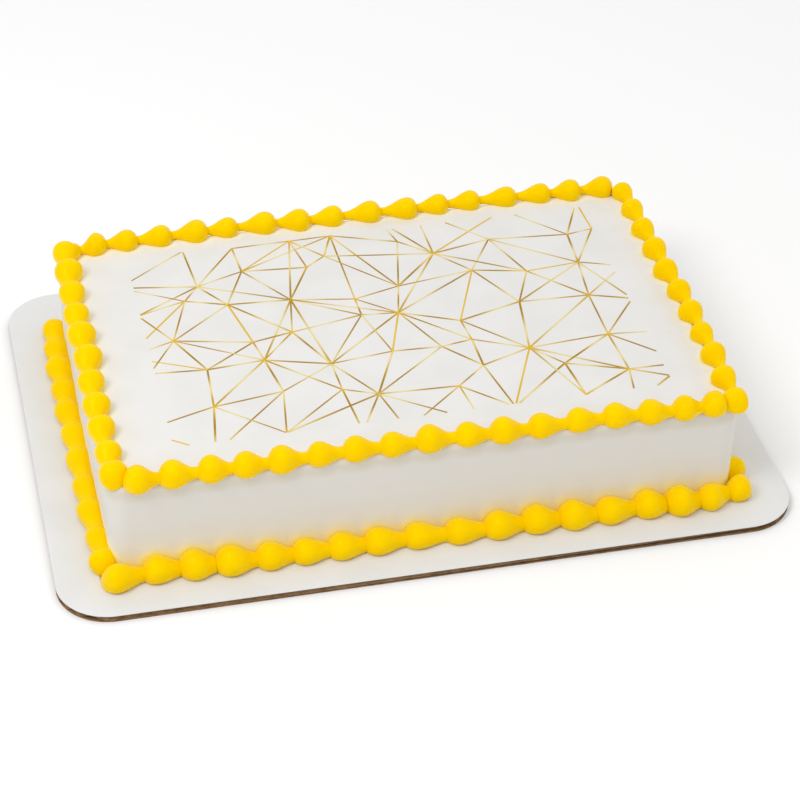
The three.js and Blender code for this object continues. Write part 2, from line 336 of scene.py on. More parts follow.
# %% [markdown]
# Now a round section is carried along the stations of each string, as the icing comes
# out of the tip. A curve with a bevel would do it too, but it couldn't be pressed flat
# on the board, as the strings at the foot are.

# %% The piped strings
ROUND_STEPS = 44
ABOVE_BOARD = 0.05
PRESSED_TO = BOARD_TOP + ABOVE_BOARD
TOP_TAIL = 0.6
FOOT_TAIL = 0.74


def pipe_string(name, run, side, at_foot, stands_for):
    """Makes the string of one side, and gives its middle line and radii as well."""
    along, outward, half, reach = SIDES[side]
    seat, tail_share = (foot_seat, FOOT_TAIL) if at_foot else (top_seat, TOP_TAIL)
    at, stray, radius, tips = string_stations(run, half, run.get("tail_share", tail_share))
    out, up = seat(run, reach, stray, radius)
    angle = np.linspace(0, 2 * np.pi, ROUND_STEPS, endpoint=False)
    ring_out = out[:, None] + radius[:, None] * np.cos(angle)
    ring_up = up[:, None] + radius[:, None] * np.sin(angle)
    if at_foot:
        ring_out, ring_up = cling_to_wall(angle, ring_out, ring_up, reach)
    ring_up = np.maximum(ring_up, PRESSED_TO)

    def placed(at, out, up):
        """Turns places along, out and up from this side into xyz."""
        flat = at[..., None] * along + out[..., None] * outward + CAKE_CENTRE[:2]
        return np.concatenate([flat, up[..., None]], axis=-1)

    rings = placed(np.broadcast_to(at[:, None], ring_out.shape), ring_out, ring_up)
    start, end = placed(np.array(tips), out[[0, -1]], up[[0, -1]])
    string = closed_skin(name, rings, start, end, [stands_for])
    return string, placed(at, out, up), radius


piped, string_paths = [], []
for border, strings in (("top", TOP_STRINGS), ("foot", FOOT_STRINGS)):
    for side, run in strings.items():
        string, path, radius = pipe_string(
            f"piped_{border}_{side}", run, side, border == "foot", f"{border}_border_{side}"
        )
        piped.append(string)
        string_paths.append((border, path, radius))

# %% [markdown]
# The block is a cake coated with white icing and smoothed with a scraper. Its walls are
# upright and nearly flat, its corners and upper edge slightly rounded. A scraper never
# leaves a true plane, so the walls and the top swell and dip by a few tenths of a
# millimetre, which is enough to break up the light. Block, sheet and board are all slabs
# with round corners, so one helper gives their outline: points, and the direction that
# points away from the slab at each of them.

# %% The outline of a slab with round corners
def rounded_outline(half_x, half_y, corner, spacing, corner_steps):
    """Points round a rectangle with arcs for corners, and the way out at each point."""
    turn = np.linspace(0, np.pi / 2, corner_steps + 1)
    points, ways = [], []
    quarters = [(1, 1, 0), (-1, 1, np.pi / 2), (-1, -1, np.pi), (1, -1, 1.5 * np.pi)]
    for sign_x, sign_y, begin in quarters:
        way = np.stack([np.cos(begin + turn), np.sin(begin + turn)], axis=1)
        middle = np.array([sign_x * (half_x - corner), sign_y * (half_y - corner)])
        points.append(middle + corner * way)
        ways.append(way)
    for quarter in range(4):
        start, end = points[quarter][-1], points[(quarter + 1) % 4][0]
        steps = max(1, round(np.linalg.norm(end - start) / spacing))
        share = np.arange(1, steps)[:, None] / steps
        points[quarter] = np.vstack([points[quarter], start + (end - start) * share])
        straight = np.repeat(ways[quarter][-1:], steps - 1, axis=0)
        ways[quarter] = np.vstack([ways[quarter], straight])
    return np.vstack(points), np.vstack(ways)


# %% [markdown]
# The skin of the block is that outline, moved in or out at each height. The walls end in
# a quarter circle, and from there rings that get smaller and smaller cover the top. They
# are closest together near the rim, where the light changes most.

# %% The iced block
CAKE_CORNER = 9.0
CAKE_CORNER_STEPS = 12
TOP_EDGE = 3.0
WALL_SPACING = 1.6
WALL_STEPS = 40
EDGE_STEPS = 8
TOP_RINGS = 44
TOP_CROWDING = 1.3
TOP_LEVEL_RIM = 0.04
LEFT_BOW = 0.4


def icing_relief(x, y):
    """Height of the scraped top over its plane: three crossing waves of a few tenths."""
    broad = 0.12 * np.sin(x / 37 + 0.6) * np.cos(y / 29)
    middling = 0.07 * np.sin(x / 17 - y / 23 + 1.3)
    return broad + middling + 0.03 * np.cos(x / 9 + y / 7)


def wall_swell(x, y, z):
    """How far a wall stands out from its plane, with the left one bowed at its middle."""
    around = 0.16 * np.sin(x / 31 + z / 40) * np.cos(y / 27 + 0.4)
    around = around + 0.10 * np.sin((x - y) / 14 + z / 11)
    leftmost = np.clip((-x - CAKE_HALF[0] + CAKE_CORNER) / CAKE_CORNER, 0, 1)
    middle = np.cos(np.clip(y / CAKE_HALF[1], -1, 1) * np.pi / 2) ** 2
    return around + LEFT_BOW * leftmost * middle


def at_centre(points, heights, centre):
    """Adds heights to outline points and moves them to a centre: ring by point by xyz."""
    flat = points + centre[:2]
    heights = np.broadcast_to(np.asarray(heights), flat.shape[:-1])
    return np.concatenate([flat, heights[..., None]], axis=-1)


outline, ways = rounded_outline(*CAKE_HALF[:2], CAKE_CORNER, WALL_SPACING, CAKE_CORNER_STEPS)
wall_z = np.linspace(BLOCK_LOW[2], CAKE_TOP - TOP_EDGE, WALL_STEPS)
turn = np.linspace(0, np.pi / 2, EDGE_STEPS + 1)[1:]
edge_z = CAKE_TOP - TOP_EDGE * (1 - np.sin(turn))
drawn_in = np.append(np.zeros(WALL_STEPS), TOP_EDGE * (1 - np.cos(turn)))
ring_z = np.append(wall_z, edge_z)
swell = wall_swell(outline[None, :, 0], outline[None, :, 1], ring_z[:, None])
fades = np.cos(np.clip(drawn_in / TOP_EDGE, 0, 1) * np.pi / 2)
moved_out = swell * fades[:, None] - drawn_in[:, None]
walls = at_centre(outline + ways * moved_out[..., None], ring_z[:, None], CAKE_CENTRE)

shrink = 1 - np.linspace(0, 1, TOP_RINGS + 1)[1:-1] ** TOP_CROWDING
rim = outline - ways * TOP_EDGE
top = rim * shrink[:, None, None]
settles = np.clip((1 - shrink) / TOP_LEVEL_RIM, 0, 1)[:, None]
top_z = CAKE_TOP + settles * icing_relief(top[..., 0], top[..., 1])
rings = np.concatenate([walls, at_centre(top, top_z, CAKE_CENTRE)])
bottom_middle = np.append(CAKE_CENTRE[:2], BLOCK_LOW[2])
top_middle = np.append(CAKE_CENTRE[:2], CAKE_TOP + icing_relief(0, 0))
iced_block = closed_skin("icing_block", rings, bottom_middle, top_middle, ["iced_cake"])

# %% [markdown]
# Light from the beads is painted into the white icing that touches them. A pale painted
# glow stands for the light that wandered through a bead and came out beside it, and a
# painted yellow light for what the yellow beads throw back. Both follow every bead and fade
# within a few millimetres, the yellow sooner. The upper strings give both to the top only,
# which ends a little way down its rounded edge. They overhang the wall, so there a painted
# shade stands for theirs, as wide below a head as below a neck. Each point of the block
# carries three shares, glow, yellow light and shade, worked out from its distance to the strings.
# That is the distance to the string's middle line, less the string's radius there.

# %% Painted glow, yellow light and shade in the white icing
STRING_RANGE = 16.0
CONTACT = 0.8
# Strength and reach of the painted glow and of the painted yellow light from the beads.
GLOW_FULL = {"top": 0.55, "foot": 1.0}
GLOW_REACH = {"top": 1.6, "foot": 3.2}
PAINTED_YELLOW_FULL = {"top": 0.22, "foot": 0.75}
PAINTED_YELLOW_REACH = 0.9
# Where the painted shade below the upper strings is full, and where it is gone.
SHADE_FULL_TO = 2.2
SHADE_GONE_AT = 5.8
TOP_ENDS_AT = 0.6
PLACES_AT_ONCE = 2000


def distance_to(places, path, radius):
    """Millimetres from places to one string, 0 in contact, STRING_RANGE when far off."""
    distance = np.full(len(places), STRING_RANGE)
    far = path.min(axis=0) - STRING_RANGE, path.max(axis=0) + STRING_RANGE
    within = np.flatnonzero(((places > far[0]) & (places < far[1])).all(axis=1))
    for part in np.array_split(within, max(1, len(within) // PLACES_AT_ONCE)):
        apart = np.linalg.norm(places[part, None] - path[None], axis=2) - radius
        distance[part] = np.maximum(apart.min(axis=1) - CONTACT, 0)
    return distance


block_places = np.concatenate([rings.reshape(-1, 3), [bottom_middle, top_middle]])
on_top = np.clip(1 + (block_places[:, 2] - CAKE_TOP) / TOP_ENDS_AT, 0, 1)
glow, dye, shade = np.zeros((3, len(block_places)))
# Painted glow, painted yellow light and painted shade, from each point's distance to the strings.
for border, path, radius in string_paths:
    distance = distance_to(block_places, path, radius)
    reached = on_top if border == "top" else 1.0
    glow_here = GLOW_FULL[border] * np.exp(-distance / GLOW_REACH[border]) * reached
    painted_yellow_here = PAINTED_YELLOW_FULL[border] * np.exp(-distance / PAINTED_YELLOW_REACH) * reached
    fall = (SHADE_GONE_AT - distance) / (SHADE_GONE_AT - SHADE_FULL_TO)
    glow = np.maximum(glow, glow_here)
    dye = np.maximum(dye, painted_yellow_here)
    shade = np.maximum(shade, np.clip(fall, 0, 1) * (1 - reached))
for name, values in (("glow", glow), ("dye", dye), ("shade", shade)):
    attribute = iced_block.data.attributes.new(name, "FLOAT", "POINT")
    attribute.data.foreach_set("value", values.astype(np.float32))
print(f"{(glow > 0.1).sum()} of {len(glow)} points of the block lie near a string")

# %% [markdown]
# The printed sheet is a film of white sugar paste, laid on the fresh icing. It takes up
# the icing's moisture within minutes and sinks into it, so on the real cake its edge
# can't be found any more. Here it follows the relief of the icing, and its thickness
# runs out to nothing over the last few millimetres. Its underside is hidden in the block
# and lies deeper than any dip of the relief, so that it can't show through.

# %% The edible sheet
SHEET_RAISED = 0.08
SHEET_EDGE = -0.02
SHEET_SUNK = 0.6
SHEET_FEATHER = 8.0
SHEET_CORNER = 2.0
SHEET_CORNER_STEPS = 4
SHEET_SPACING = 4.0
SHEET_RINGS = 46
SHEET_CROWDING = 1.8


def sheet_top(x, y):
    """Height of the sheet's face at a place on the cake: the icing and a feathered film."""
    icing = CAKE_TOP + icing_relief(x - CAKE_CENTRE[0], y - CAKE_CENTRE[1])
    inside_x = SHEET_HALF[0] - np.abs(x - SHEET_CENTRE[0])
    inside_y = SHEET_HALF[1] - np.abs(y - SHEET_CENTRE[1])
    share = smooth(np.minimum(inside_x, inside_y) / SHEET_FEATHER)
    return icing + SHEET_EDGE + (SHEET_RAISED - SHEET_EDGE) * share


outline, ways = rounded_outline(
    *SHEET_HALF[:2], SHEET_CORNER, SHEET_SPACING, SHEET_CORNER_STEPS
)
shrink = 1 - np.linspace(0, 1, SHEET_RINGS + 1)[:-1] ** SHEET_CROWDING
spread = outline * shrink[:, None, None]
face_z = sheet_top(spread[..., 0] + SHEET_CENTRE[0], spread[..., 1] + SHEET_CENTRE[1])
face = at_centre(spread, face_z, SHEET_CENTRE)
under = face[:1] - np.array([0, 0, SHEET_SUNK])
rings = np.concatenate([under, face])
middle_z = sheet_top(*SHEET_CENTRE[:2])
under_middle = np.append(SHEET_CENTRE[:2], middle_z - SHEET_SUNK)
face_middle = np.append(SHEET_CENTRE[:2], middle_z)
sheet = closed_skin(
    "printed_sheet", rings, under_middle, face_middle, ["edible_sheet"]
)

# %% [markdown]
# The print is a net of straight gold lines, as in cracked glass: they run between hubs,
# the larger hubs send out many, and the edge of the print cuts them off. A picture file
# could carry it, but a rule gives a sharper net. Hubs stand on a grid and are moved at
# random. Two hubs are joined if no third one lies in the circle between them, which
# gives cells of even size, and some hubs send longer lines across that net. Each line
# is a very flat bar on the sheet. Its own tiny step in height settles which of two
# crossing lines lies on top.

# %% The net of lines
PRINT_HALF = np.array([124.0, 81.0])
NET_COLUMNS = 10
NET_ROWS = 7
NET_OVERHANG = 0.4
NET_JITTER = 0.36
NET_SEED = 23
LONGEST_SPOKE = 60.0
SMALLEST_ANGLE = math.radians(16)
SHORTEST_LINE = 4.0
LEFT_OUT = 0.12


def net_hubs(rng):
    """Hubs of the net: a grid a little larger than the print, each point moved at random."""
    cells = np.array([NET_COLUMNS - 1, NET_ROWS - 1])
    cell = 2 * PRINT_HALF / (cells - NET_OVERHANG)
    column, row = np.meshgrid(np.arange(NET_COLUMNS), np.arange(NET_ROWS), indexing="ij")
    grid = np.stack([column.ravel(), row.ravel()], axis=1)
    shifted = grid - cells / 2 + rng.uniform(-NET_JITTER, NET_JITTER, grid.shape)
    main = (grid[:, 0] + 2 * grid[:, 1]) % 5 == 1
    return shifted * cell, main


def joined_hubs(hubs, main, rng):
    """Pairs of hubs with a line: near neighbours, and spokes from the main hubs."""
    apart = ((hubs[:, None] - hubs[None]) ** 2).sum(axis=2)
    by_third = (apart[:, None, :] + apart[None, :, :]).min(axis=2)
    linked = (by_third >= apart - 1e-6) & (apart > 0)
    lost = np.triu(rng.random(linked.shape) < LEFT_OUT)
    both_small = ~(main[:, None] | main[None])
    linked &= ~((lost | lost.T) & both_small)
    for hub in np.flatnonzero(main):
        ways = hubs - hubs[hub]
        angles = np.arctan2(ways[:, 1], ways[:, 0])
        for other in np.argsort(apart[hub])[1:]:
            turned = angles[linked[hub]] - angles[other]
            clear = np.abs((turned + np.pi) % (2 * np.pi) - np.pi).min(initial=np.pi)
            if apart[hub, other] < LONGEST_SPOKE ** 2 and clear > SMALLEST_ANGLE:
                linked[hub, other] = linked[other, hub] = True
    return np.argwhere(np.triu(linked))


def cut_to_print(start, end):
    """Shares along each line at which it enters and leaves the print's rectangle."""
    way = end - start
    way = np.where(np.abs(way) < 1e-9, 1e-9, way)
    crossings = np.stack([(-PRINT_HALF - start) / way, (PRINT_HALF - start) / way])
    enters = np.maximum(crossings.min(axis=0).max(axis=1), 0)
    leaves = np.minimum(crossings.max(axis=0).min(axis=1), 1)
    return enters, leaves


rng = np.random.default_rng(NET_SEED)
hubs, main_hubs = net_hubs(rng)
pairs = joined_hubs(hubs, main_hubs, rng)
starts, ends = hubs[pairs[:, 0]], hubs[pairs[:, 1]]
enters, leaves = cut_to_print(starts, ends)
lengths = np.linalg.norm(ends - starts, axis=1)
kept = (leaves - enters) * lengths > SHORTEST_LINE
starts, ends, enters, leaves, lengths, pairs = (
    values[kept] for values in (starts, ends, enters, leaves, lengths, pairs)
)
print(f"the net has {len(hubs)} hubs, {main_hubs.sum()} of them large, and {len(pairs)} lines")

# %% [markdown]
# The gold is printed, not metal leaf, and it changes from dark to pale along each line,
# as metal would where it catches the light. So every point of the bars carries two
# numbers for the finish to read: how pale the gold is there, which is a wave along the
# line with its own start, and how bright, which is high close to some of the hubs.

# %% The gold lines
LINE_STATIONS = 13
LINE_WIDTHS = (0.8, 1.1)
LINE_RAISED = 0.03
LINE_SUNK = 0.03
LINE_STEP = 0.0003
PALE_WAVES = (0.5, 1.2)
BRIGHT_REACH = 5.0
BRIGHT_LINES = 0.07

count = len(pairs)
share = enters[:, None] + (leaves - enters)[:, None] * np.linspace(0, 1, LINE_STATIONS)
middle = starts[:, None] + (ends - starts)[:, None] * share[..., None]
way = (ends - starts) / lengths[:, None]
aside = np.stack([-way[:, 1], way[:, 0]], axis=1)
width = rng.uniform(*LINE_WIDTHS, count)
offset = aside[:, None] * (width / 2)[:, None, None]
edges = np.stack([middle - offset, middle + offset, middle + offset, middle - offset], axis=2)
edges = edges + SHEET_CENTRE[:2]
raised = LINE_RAISED + LINE_STEP * np.arange(count)
levels = np.stack([np.full(count, -LINE_SUNK)] * 2 + [raised] * 2, axis=1)
bar_z = sheet_top(edges[..., 0], edges[..., 1]) + levels[:, None, :]
bars = np.concatenate([edges, bar_z[..., None]], axis=-1)

bar_points = 4 * LINE_STATIONS
sides = grid_faces(LINE_STATIONS, 4)
caps = np.array([[3, 2, 1, 0], np.array([0, 1, 2, 3]) + bar_points - 4])
one_bar = np.concatenate([sides, caps])
all_bars = (one_bar[None] + bar_points * np.arange(count)[:, None, None]).reshape(-1, 4)
no_triangles = np.zeros((0, 3), int)
gold_net = make_piece(
    "gold_lines", bars.reshape(-1, 3), all_bars, no_triangles, []
)
gold_net.data.shade_flat()

waves = rng.uniform(*PALE_WAVES, (count, 1)) * share + rng.random((count, 1))
pale = 0.5 + 0.5 * np.cos(2 * np.pi * waves)
glint = rng.random(len(hubs))
near_start = glint[pairs[:, :1]] * np.exp(-share * lengths[:, None] / BRIGHT_REACH)
near_end = glint[pairs[:, 1:]] * np.exp((share - 1) * lengths[:, None] / BRIGHT_REACH)
bright = np.maximum(near_start, near_end)
bright = np.maximum(bright, rng.random((count, 1)) < BRIGHT_LINES)
for name, values in (("pale", pale), ("bright", bright)):
    attribute = gold_net.data.attributes.new(name, "FLOAT", "POINT")
    attribute.data.foreach_set("value", np.repeat(values, 4, axis=1).astype(np.float32).ravel())

# %% [markdown]
# The board is corrugated: a white paper on top, and under it a brown one, a wavy
# one and another flat one, glued together and cut out with a die. The waves run along
# the cake's long side, so the long edges show one wave from its side, as a dark groove
# over a lighter slope, and the round corners cut through several. The papers come first.

# %% The white top paper
BOARD_CORNER = 26.0
BOARD_CORNER_STEPS = 24
PAPER_SPACING = 8.0
PAPER_ROUND = 0.12
PAPER_RIM = 4.0
WHITE_PAPER = 0.42


def paper_skin(name, low, high, inset, stands_for):
    """A flat paper with the board's outline, drawn in by inset, its edges barely rounded."""
    half_x, half_y = BOARD_HALF[:2] - inset
    corner = BOARD_CORNER - inset
    outline, ways = rounded_outline(half_x, half_y, corner, PAPER_SPACING, BOARD_CORNER_STEPS)
    turn = np.linspace(0, np.pi / 2, 4)
    drawn_in = PAPER_ROUND * (1 - np.sin(turn))
    lower_z = low + PAPER_ROUND * (1 - np.cos(turn))
    upper_z = high - PAPER_ROUND * (1 - np.cos(turn))
    rim_in = np.concatenate([[PAPER_RIM], drawn_in, drawn_in[::-1], [PAPER_RIM]])
    rim_z = np.concatenate([[low], lower_z, upper_z[::-1], [high]])
    moved = outline - ways * rim_in[:, None, None]
    rings = at_centre(moved, rim_z[:, None], np.zeros(3))
    return closed_skin(name, rings, (0, 0, low), (0, 0, high), stands_for)


white_low = BOARD_TOP - WHITE_PAPER
top_paper = paper_skin("board_top_paper", white_low, BOARD_TOP, 0, ["board_face"])

# %% [markdown]
# The sheet of waves is worked out whole, row by row across the board, and the board's
# outline says how far each row reaches. An array of copied waves would be quicker, but
# it couldn't follow the round corners. The die was a little out of line with the waves,
# so they drift along the edge.

# %% The brown papers and the waves between them
BROWN_PAPER = 0.3
BROWN_INSET = 0.15
WAVE_LENGTH = 6.4
WAVE_PAPER = 0.22
WAVE_DRIFT = math.radians(0.42)
WAVE_START = 0.1
WAVE_INSET = 0.5
WAVE_COLUMNS = 30
ROWS_PER_WAVE = 12
CORNER_ROWS = 60

base_high = CORE_LOW[2] + BROWN_PAPER
base_paper = paper_skin(
    "board_base_paper", CORE_LOW[2], base_high, BROWN_INSET, ["board_core"]
)
under_low = white_low - BROWN_PAPER
under_paper = paper_skin(
    "board_under_paper", under_low, white_low, BROWN_INSET, ["board_core"]
)


def wave_height(x, y, low, high):
    """Height of the wavy paper's middle: a cosine across the board that drifts along it."""
    across = (y + BOARD_HALF[1]) * math.cos(WAVE_DRIFT) + x * math.sin(WAVE_DRIFT)
    phase = 2 * np.pi * (across / WAVE_LENGTH + WAVE_START)
    return (low + high) / 2 - (high - low) / 2 * np.cos(phase)


half_x, half_y = BOARD_HALF[:2] - WAVE_INSET
straight = half_y - BOARD_CORNER
middle_rows = round(2 * straight / WAVE_LENGTH * ROWS_PER_WAVE)
rows_middle = np.linspace(-straight, straight, middle_rows)
rows_corner = straight + BOARD_CORNER * np.sin(np.linspace(0, np.pi / 2, CORNER_ROWS)[1:])
rows = np.concatenate([-rows_corner[::-1], rows_middle, rows_corner])
into_corner = np.clip(np.abs(rows) - straight, 0, BOARD_CORNER)
reach = half_x - BOARD_CORNER + np.sqrt(BOARD_CORNER ** 2 - into_corner ** 2)
wave_x = reach[:, None] * np.linspace(-1, 1, WAVE_COLUMNS)
wave_y = np.broadcast_to(rows[:, None], wave_x.shape)
lowest = base_high + WAVE_PAPER / 2
highest = under_low - WAVE_PAPER / 2
wave_z = wave_height(wave_x, wave_y, lowest, highest)
upper = np.stack([wave_x, wave_y, wave_z + WAVE_PAPER / 2], axis=-1)
lower = np.stack([wave_x, wave_y, wave_z - WAVE_PAPER / 2], axis=-1)
sections = np.concatenate([upper, lower[:, ::-1]], axis=1)
row_points = 2 * WAVE_COLUMNS
step = np.arange(WAVE_COLUMNS - 1)
end_cap = np.stack([step, step + 1, row_points - 2 - step, row_points - 1 - step], axis=1)
far_cap = end_cap[:, ::-1] + row_points * (len(rows) - 1)
wave_faces = np.concatenate([grid_faces(len(rows), row_points), end_cap[:, ::-1], far_cap[:, ::-1]])
waves_piece = make_piece(
    "board_waves", sections.reshape(-1, 3), wave_faces, no_triangles, ["board_core"]
)

# %% [markdown]
# The finishes are procedural: every colour, roughness and bump is worked out from the
# place on the piece. Written out node by node that is hard to read, so a small class
# holds one socket of a material and lets sums be written as sums. Adding or multiplying
# two of them adds the Math node that does it. All other nodes come from its one method.

# %% A helper for finishes
class Wire:
    """One output socket in a material. Sums with it add Math nodes to the material."""

    def __init__(self, tree, socket=None):
        self.tree = tree
        self.socket = socket

    def node(self, kind, settings=None, sockets=None, output=0):
        """Adds any node: its settings first, then a value or a Wire for each socket."""
        made = self.tree.nodes.new("ShaderNode" + kind)
        for name, value in (settings or {}).items():
            if name == "stops":
                self.set_stops(made.color_ramp, value)
            else:
                setattr(made, name, value)
        for name, value in (sockets or {}).items():
            if isinstance(value, Wire):
                self.tree.links.new(value.socket, made.inputs[name])
            else:
                made.inputs[name].default_value = value
        return Wire(self.tree, made.outputs[output])

    @staticmethod
    def set_stops(ramp, stops):
        """Gives a colour ramp its stops, a list of places and colours."""
        while len(ramp.elements) < len(stops):
            ramp.elements.new(1.0)
        for element, (place, colour) in zip(ramp.elements, stops):
            element.position = place
            element.color = colour

    def math(self, operation, *values):
        """Adds a Math node that works on these values."""
        return self.node("Math", {"operation": operation}, dict(enumerate(values)))

    def __add__(self, other):
        return self.math("ADD", self, other)

    def __mul__(self, other):
        return self.math("MULTIPLY", self, other)

    def __sub__(self, other):
        return self.math("SUBTRACT", self, other)

    def __rsub__(self, other):
        return self.math("SUBTRACT", other, self)

    __radd__ = __add__
    __rmul__ = __mul__

    def smooth(self, low, high):
        """Rises smoothly from 0 to 1 as this value goes from low to high."""
        settings = {"interpolation_type": "SMOOTHSTEP"}
        return self.node("MapRange", settings, {0: self, 1: low, 2: high, 3: 0.0, 4: 1.0})

    def colours(self, first, second):
        """Goes from the first colour to the second as this value goes from 0 to 1."""
        return self.node("Mix", {"data_type": "RGBA"}, {0: self, 6: first, 7: second}, output=2)


# %% [markdown]
# A few more helpers give what nearly every finish needs. Colours are written as they
# should show on the screen, and divided by how brightly the scene's light shows a white
# surface that faces up. Noise has a size in millimetres, and so has the relief that it
# feigns.

# %% Helpers for colour, noise and relief
LIGHT = 1.12
LIGHTEST = 0.98


def seen(red, green, blue):
    """The colour that a surface needs to show these screen values under the scene's light."""
    share = np.array([red, green, blue]) / 255
    linear = np.where(share <= 0.04045, share / 12.92, ((share + 0.055) / 1.055) ** 2.4)
    return (*np.minimum(linear / LIGHT, LIGHTEST).tolist(), 1.0)


def new_finish(name):
    """An empty material: it, its Principled shader and a Wire with the place on the piece."""
    material = bpy.data.materials.new(name)
    material.use_nodes = True
    shader = material.node_tree.nodes["Principled BSDF"]
    place = Wire(material.node_tree).node("TexCoord", output="Object")
    print(f"finish: {name}")
    return material, shader, place


def noise(place, size, detail=2.0, rough=0.5):
    """Soft noise with lumps of about this size in millimetres."""
    sockets = {"Vector": place, "Scale": 1 / (size * MM), "Detail": detail, "Roughness": rough}
    return place.node("TexNoise", None, sockets)


def share_of(place, name):
    """The number that each point of the mesh carries under this name."""
    return place.node("Attribute", {"attribute_name": name}, output="Fac")


def fill(shader, linked, fixed):
    """Feeds wires into the shader's sockets and sets the values that don't vary."""
    for name, wire in linked.items():
        wire.tree.links.new(wire.socket, shader.inputs[name])
    for name, value in fixed.items():
        shader.inputs[name].default_value = value


def bump(height, depth):
    """A normal that feigns relief of this depth in millimetres."""
    sockets = {"Height": height, "Distance": depth * MM, "Strength": 1.0}
    return height.node("Bump", None, sockets)


# %% [markdown]
# White icing is sugar and fat, as white as paper but a little warmer. The scraper leaves
# it satin, with a fine grain and faint broad blotches. On the walls it is painted a little
# darker and warmer: a painted shade, with the warm light that bounces onto them. Near the
# strings the block's three shares paint light and shade into it: a paler painted glow,
# painted yellow light from the beads, and painted shade. The sheet has none of them. It
# has taken the white of the icing under it, blotches and all, so that its edge doesn't
# show. It only has a finer grain.

# %% White icing and sugar sheet
WHITE_ICING_LOW = seen(234, 233, 230)
WHITE_ICING_HIGH = seen(238, 237, 235)
# Painted shade and warm bounced light on the walls, not a colour of the icing.
SHADED_WALL_ICING = (0.742, 0.722, 0.678, 1.0)
# Painted shade under the upper strings, a painted glow and painted yellow light beside the beads.
SHADED_ICING = (0.69, 0.65, 0.56, 1.0)
LIT_ICING = (0.94, 0.96, 0.88, 1.0)
PAINTED_YELLOW_ICING = (0.98, 0.93, 0.17, 1.0)
BLOTCH_SIZE = 28
DRAG_SIZE = 9
DRAG_DEPTH = 0.08
WALL_FROM, WALL_BELOW = 1.0, 4.0


def white_icing(name, grain_size, grain_depth):
    """Satin white. The grain's depth is a share of the depth of the scraper's drags."""
    material, shader, place = new_finish(name)
    blotches = noise(place, BLOTCH_SIZE, 3.0).smooth(0.35, 0.65)
    white = blotches.colours(WHITE_ICING_LOW, WHITE_ICING_HIGH)
    depth = CAKE_TOP * MM - place.node("SeparateXYZ", None, {0: place}, output="Z")
    # Painted shade: below the rim the walls turn a little darker and warmer.
    white = depth.smooth(WALL_FROM * MM, WALL_BELOW * MM).colours(white, SHADED_WALL_ICING)
    # Painted shade, painted glow and painted yellow light from the block's three shares.
    white = share_of(place, "shade").colours(white, SHADED_ICING)
    white = share_of(place, "glow").colours(white, LIT_ICING)
    white = share_of(place, "dye").colours(white, PAINTED_YELLOW_ICING)
    grain = noise(place, grain_size, 3.0, 0.6)
    drags = noise(place, DRAG_SIZE, 2.0)
    linked = {
        "Base Color": white,
        "Roughness": 0.5 + 0.14 * grain,
        "Normal": bump(grain * grain_depth + drags, DRAG_DEPTH),
    }
    fill(shader, linked, {"Specular IOR Level": 0.3})
    return material


iced_block.data.materials.append(white_icing("white_icing", 1.1, 0.35))
sheet.data.materials.append(white_icing("sugar_sheet", 0.8, 0.2))

# %% [markdown]
# The printed gold reads the two numbers that each bar carries. The first one chooses
# between dark, middling and pale gold, and the second brings in the bright yellow.

# %% Printed gold
GOLD_STOPS = [
    (0.0, seen(168, 128, 14)),
    (0.45, seen(200, 164, 60)),
    (1.0, seen(240, 223, 156)),
]
BRIGHT_GOLD = seen(236, 192, 50)
BRIGHTEST = 0.85


def printed_gold():
    """Gold that goes from dark to pale and flares up in yellow, with a fine grain."""
    material, shader, place = new_finish("printed_gold")
    pale = share_of(place, "pale")
    gold = pale.node("ValToRGB", {"stops": GOLD_STOPS}, {0: pale})
    bright = share_of(place, "bright") * BRIGHTEST
    grain = noise(place, 0.4, 2.0)
    linked = {
        "Base Color": bright.colours(gold, BRIGHT_GOLD),
        "Roughness": 0.42 + 0.12 * grain,
    }
    fill(shader, linked, {"Specular IOR Level": 0.15})
    return material


gold_net.data.materials.append(printed_gold())

# %% [markdown]
# The yellow icing is strongly dyed. Its blue is all but swallowed, and its shaded side
# stays a clear warm yellow, because light wanders through the bead from the lit side.
# Too little green would turn it orange, too little red olive. It is glossier than the
# white icing, so each head shows a small soft glint of the lamp.

# %% Yellow icing
YELLOW_LOW = (0.995, 0.622, 0.0, 1.0)
YELLOW_HIGH = (1.0, 0.648, 0.0, 1.0)
LUMP_SIZE = 14
RIPPLE_SIZE = 5
RIPPLE_DEPTH = 0.05


def yellow_icing():
    """Glossy dyed icing that lets light wander through, its blue least of all."""
    material, shader, place = new_finish("yellow_icing")
    lumps = noise(place, LUMP_SIZE, 2.0).smooth(0.3, 0.7)
    grain = noise(place, 0.7, 3.0, 0.6)
    ripples = noise(place, RIPPLE_SIZE, 2.0)
    linked = {
        "Base Color": lumps.colours(YELLOW_LOW, YELLOW_HIGH),
        "Roughness": 0.13 + 0.07 * grain,
        "Normal": bump(grain * 0.15 + ripples, RIPPLE_DEPTH),
    }
    fixed = {
        "Specular IOR Level": 0.14,
        "Specular Tint": (1.0, 0.9, 0.05, 1.0),
        "Subsurface Weight": 0.3,
        "Subsurface Radius": (1.0, 1.0, 0.1),
        "Subsurface Scale": 0.0025,
    }
    fill(shader, linked, fixed)
    return material


yellow = yellow_icing()
for string in piped:
    string.data.materials.append(yellow)

# %% [markdown]
# The board's white paper is coated, hardly glossy, with the fibres just to be seen. The
# brown paper is raw, with darker and lighter fibres drawn out along the waves.

# %% Papers
WHITE_PAPER_LOW, WHITE_PAPER_HIGH = seen(231, 232, 232), seen(236, 237, 238)
BROWN_PAPER_LOW, BROWN_PAPER_HIGH = seen(120, 90, 58), seen(178, 144, 106)


